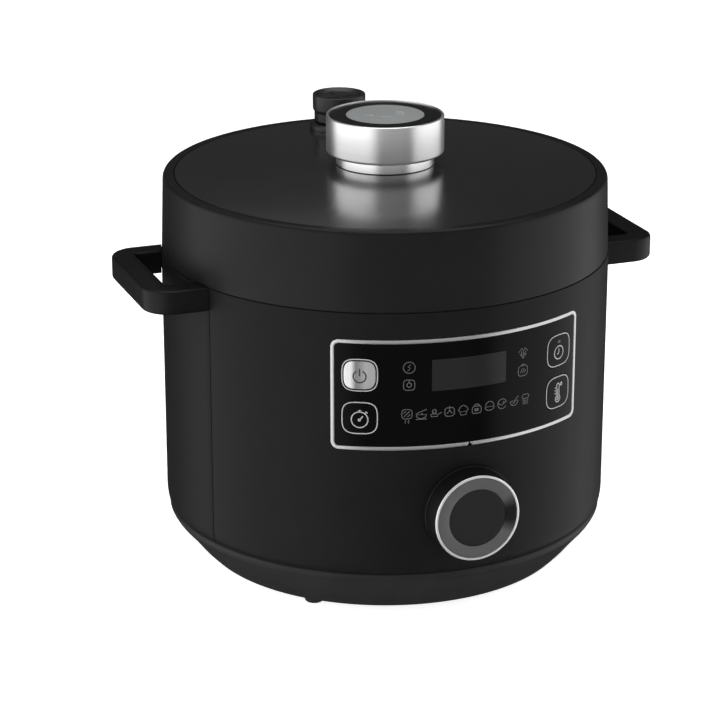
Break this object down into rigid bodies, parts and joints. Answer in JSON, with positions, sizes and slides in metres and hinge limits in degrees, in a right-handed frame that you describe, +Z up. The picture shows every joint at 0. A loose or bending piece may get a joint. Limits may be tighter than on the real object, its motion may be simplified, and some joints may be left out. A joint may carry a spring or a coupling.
{
  "type": "electric pressure cooker",
  "caption": "Round electric pressure cooker with a knob-locked lid, removable pot, heated well, steam valve, keyed control panel, food dial and two loop handles.",
  "frame": {"origin": "centre of the cooker's bounding box on the surface it stands on, which is its vertical axis", "axes": "+Z up, -Y the front with the panel and dial, +X to the right seen from the front"},
  "size_m": [0.3772, 0.3467, 0.3198],
  "materials": {
    "satin_black": "satin moulded plastic",
    "gloss_black": "glossy printed panel",
    "smoked_window": "smoked display window",
    "silver_trim": "bright satin trim",
    "brushed_metal": "turned and brushed metal",
    "grey_disc": "metallic grey",
    "steel": "pressed stainless steel",
    "dark_pot": "dark non-stick coating",
    "silicone": "translucent silicone",
    "rubber": "soft rubber",
    "circuit_board": "coated board",
    "cast_aluminium": "cast and machined",
    "red_plastic": "red moulded plastic",
    "clear_plastic": "clear smoky plastic"
  },
  "bodies": {
    "housing": {"base_shell": "satin_black", "bottom_cover": "satin_black", "control_board": "circuit_board", "control_panel": "gloss_black", "cover_screw_1": "steel", "cover_screw_2": "steel", "cover_screw_3": "steel", "dial_bezel": "satin_black", "dial_encoder": "steel", "display_module": "circuit_board", "display_window": "smoked_window", "foot_1": "rubber", "foot_2": "rubber", "foot_3": "rubber", "foot_4": "rubber", "front_shell": "satin_black", "handle_left": "satin_black", "handle_right": "satin_black", "handle_screw_left_front": "steel", "handle_screw_left_rear": "steel", "handle_screw_right_front": "steel", "handle_screw_right_rear": "steel", "heating_plate": "cast_aluminium", "inner_housing": "steel", "locking_flange": "steel", "mains_inlet": "satin_black", "panel_frame": "silver_trim", "power_board": "circuit_board", "rear_shell": "satin_black", "sensor_spring": "steel", "thermal_fuse": "steel"},
    "lid": {"lid_cover": "satin_black", "lid_top_disc": "satin_black", "inner_lid": "steel", "sealing_ring": "silicone", "knob_collar": "brushed_metal", "valve_seat": "satin_black", "steam_duct": "steel", "anti_block_shield": "steel", "lid_screw_1": "steel", "lid_screw_2": "steel", "lid_screw_3": "steel"},
    "knob": {"knob_body": "brushed_metal", "knob_top_ring": "gloss_black", "knob_disc": "grey_disc", "knob_shaft": "steel", "locking_ring": "steel"},
    "steam_valve": {"valve_cap": "satin_black"},
    "float": {"float_pin": "red_plastic"},
    "pot": {"inner_pot": "dark_pot"},
    "dial": {"dial_body": "satin_black", "dial_ring": "grey_disc", "dial_insert": "gloss_black"},
    "sensor": {"sensor_button": "cast_aluminium"},
    "cup": {"condensate_cup": "clear_plastic"},
    "power_key": {"power_button": "brushed_metal"},
    "timer_key": {"timer_button": "gloss_black"},
    "delay_key": {"delay_button": "gloss_black"},
    "temperature_key": {"temperature_button": "gloss_black"}
  },
  "joints": [
    {"name": "lid_lift", "type": "slide", "parent": "housing", "child": "lid", "axis": [0, 0, 1], "range_m": [0, 0.36]},
    {"name": "pot_lift", "type": "slide", "parent": "housing", "child": "pot", "axis": [0, 0, 1], "range_m": [0, 0.18]},
    {"name": "knob_turn", "type": "hinge", "parent": "lid", "child": "knob", "pos_m": [0, 0, 0.2802], "axis": [0, 0, 1], "range_deg": [-30, 0]},
    {"name": "valve_turn", "type": "hinge", "parent": "lid", "child": "steam_valve", "pos_m": [0.0077, 0.114, 0.2872], "axis": [0, 0, 1], "range_deg": [-60, 0]},
    {"name": "float_rise", "type": "slide", "parent": "lid", "child": "float", "axis": [0, 0, 1], "range_m": [0, 0.0045]},
    {"name": "dial_turn", "type": "hinge", "parent": "housing", "child": "dial", "pos_m": [0, -0.1573, 0.08415], "axis": [0, -1, 0], "continuous": true},
    {"name": "cup_pull", "type": "slide", "parent": "housing", "child": "cup", "axis": [0, 1, 0], "range_m": [0, 0.03]},
    {"name": "sensor_press", "type": "slide", "parent": "housing", "child": "sensor", "axis": [0, 0, -1], "range_m": [0, 0.003], "stiffness_N_per_m": 600, "deforming": ["sensor_spring"]},
    {"name": "power_press", "type": "slide", "parent": "housing", "child": "power_key", "axis": [0.4548, 0.8906, 0], "range_m": [0, 0.0012], "stiffness_N_per_m": 300},
    {"name": "timer_press", "type": "slide", "parent": "housing", "child": "timer_key", "axis": [0.4548, 0.8906, 0], "range_m": [0, 0.0012], "stiffness_N_per_m": 300},
    {"name": "delay_press", "type": "slide", "parent": "housing", "child": "delay_key", "axis": [-0.4548, 0.8906, 0], "range_m": [0, 0.0012], "stiffness_N_per_m": 300},
    {"name": "temperature_press", "type": "slide", "parent": "housing", "child": "temperature_key", "axis": [-0.4548, 0.8906, 0], "range_m": [0, 0.0012], "stiffness_N_per_m": 300}
  ],
  "couplings": [
    {"joint": "pot_lift", "follows": "lid_lift", "ratio": 0.5}
  ]
}
